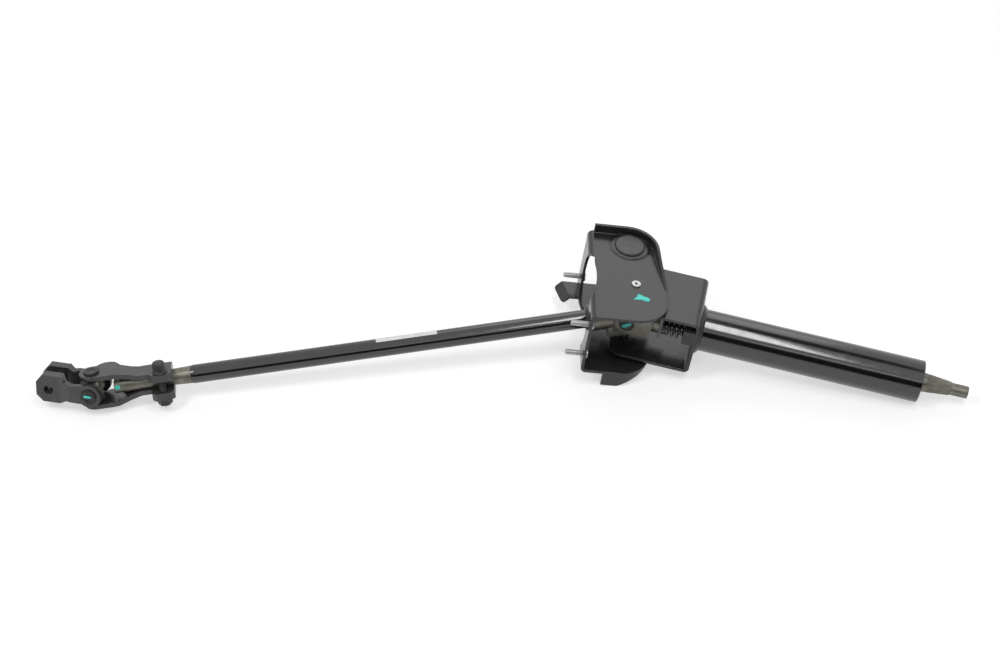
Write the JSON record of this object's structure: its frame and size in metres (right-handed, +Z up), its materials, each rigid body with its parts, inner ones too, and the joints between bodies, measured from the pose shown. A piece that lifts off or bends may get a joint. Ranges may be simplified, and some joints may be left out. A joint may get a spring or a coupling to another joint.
{
  "type": "steering column",
  "caption": "Tilting steering column with stamped mounting bracket, painted column tube, splined wheel end and a jointed intermediate shaft",
  "frame": {"origin": "centre of the footprint, on the bench the column lies on", "axes": "+X towards the steering wheel end, +Y away from the open side of the bracket, +Z up from the bench"},
  "size_m": [0.9624, 0.1936, 0.1092],
  "materials": {
    "black_paint": "gloss",
    "satin_black": "satin",
    "stamped_black": "satin",
    "bare_steel": "satin",
    "bright_zinc": "bright",
    "bearing_steel": "bright",
    "dark_phosphate": "satin",
    "plug_plastic": "matte"
  },
  "bodies": {
    "bracket": {"mounting_bracket": "stamped_black", "bulkhead_studs": "bright_zinc", "pivot_pin_upper": "bright_zinc", "pivot_pin_lower": "bright_zinc", "pivot_washer_upper": "bare_steel", "pivot_washer_lower": "bare_steel", "hole_plug": "plug_plastic"},
    "tilt_head": {"tilt_yoke": "stamped_black", "column_tube": "black_paint", "tube_collar": "black_paint", "upper_bearing_outer": "bearing_steel", "upper_bearing_balls": "bearing_steel", "lower_bearing_outer": "bearing_steel", "lower_bearing_balls": "bearing_steel", "tilt_spring": "black_paint", "spring_seat": "black_paint", "spring_guide": "dark_phosphate"},
    "steering_shaft": {"steering_shaft": "bare_steel", "upper_bearing_inner": "bearing_steel", "lower_bearing_inner": "bearing_steel", "steering_yoke": "bare_steel", "upper_cups_a": "dark_phosphate"},
    "upper_cross": {"upper_spider": "bare_steel"},
    "intermediate_shaft": {"intermediate_yoke": "bare_steel", "upper_cups_b": "dark_phosphate", "intermediate_tube": "black_paint", "slip_shaft": "bare_steel", "clamp_yoke": "satin_black", "pinch_bolt": "dark_phosphate", "pinch_nut": "dark_phosphate", "lower_cups_a": "dark_phosphate"},
    "lower_cross": {"lower_spider": "bare_steel"},
    "gear_yoke": {"lower_yoke": "satin_black", "lower_cups_b": "dark_phosphate"}
  },
  "joints": [
    {"name": "tilt", "type": "hinge", "parent": "bracket", "child": "tilt_head", "pos_m": [0.12922, 0.01618, 0.05492], "axis": [0.108, 0, 0.9941], "range_deg": [-8, 8]},
    {"name": "wheel_spin", "type": "hinge", "parent": "tilt_head", "child": "steering_shaft", "pos_m": [0.431, -0.04668, 0.02212], "axis": [0.9735, -0.2028, -0.1058], "continuous": true},
    {"name": "upper_cross_swing", "type": "hinge", "parent": "steering_shaft", "child": "upper_cross", "pos_m": [0.12922, 0.01618, 0.05492], "axis": [0.2016, 0.9792, -0.0219], "range_deg": [-3, 18]},
    {"name": "intermediate_swing", "type": "hinge", "parent": "upper_cross", "child": "intermediate_shaft", "pos_m": [0.12922, 0.01618, 0.05492], "axis": [-0.0652, 0.0357, 0.9972], "range_deg": [-38, 4]},
    {"name": "lower_cross_swing", "type": "hinge", "parent": "intermediate_shaft", "child": "lower_cross", "pos_m": [-0.42233, -0.07501, 0.02212], "axis": [-0.1021, 0.2732, 0.9565], "range_deg": [-8, 40]},
    {"name": "lower_yoke_swing", "type": "hinge", "parent": "lower_cross", "child": "gear_yoke", "pos_m": [-0.42233, -0.07501, 0.02212], "axis": [0.1492, 0.9549, -0.2568], "range_deg": [-28, 10]}
  ]
}
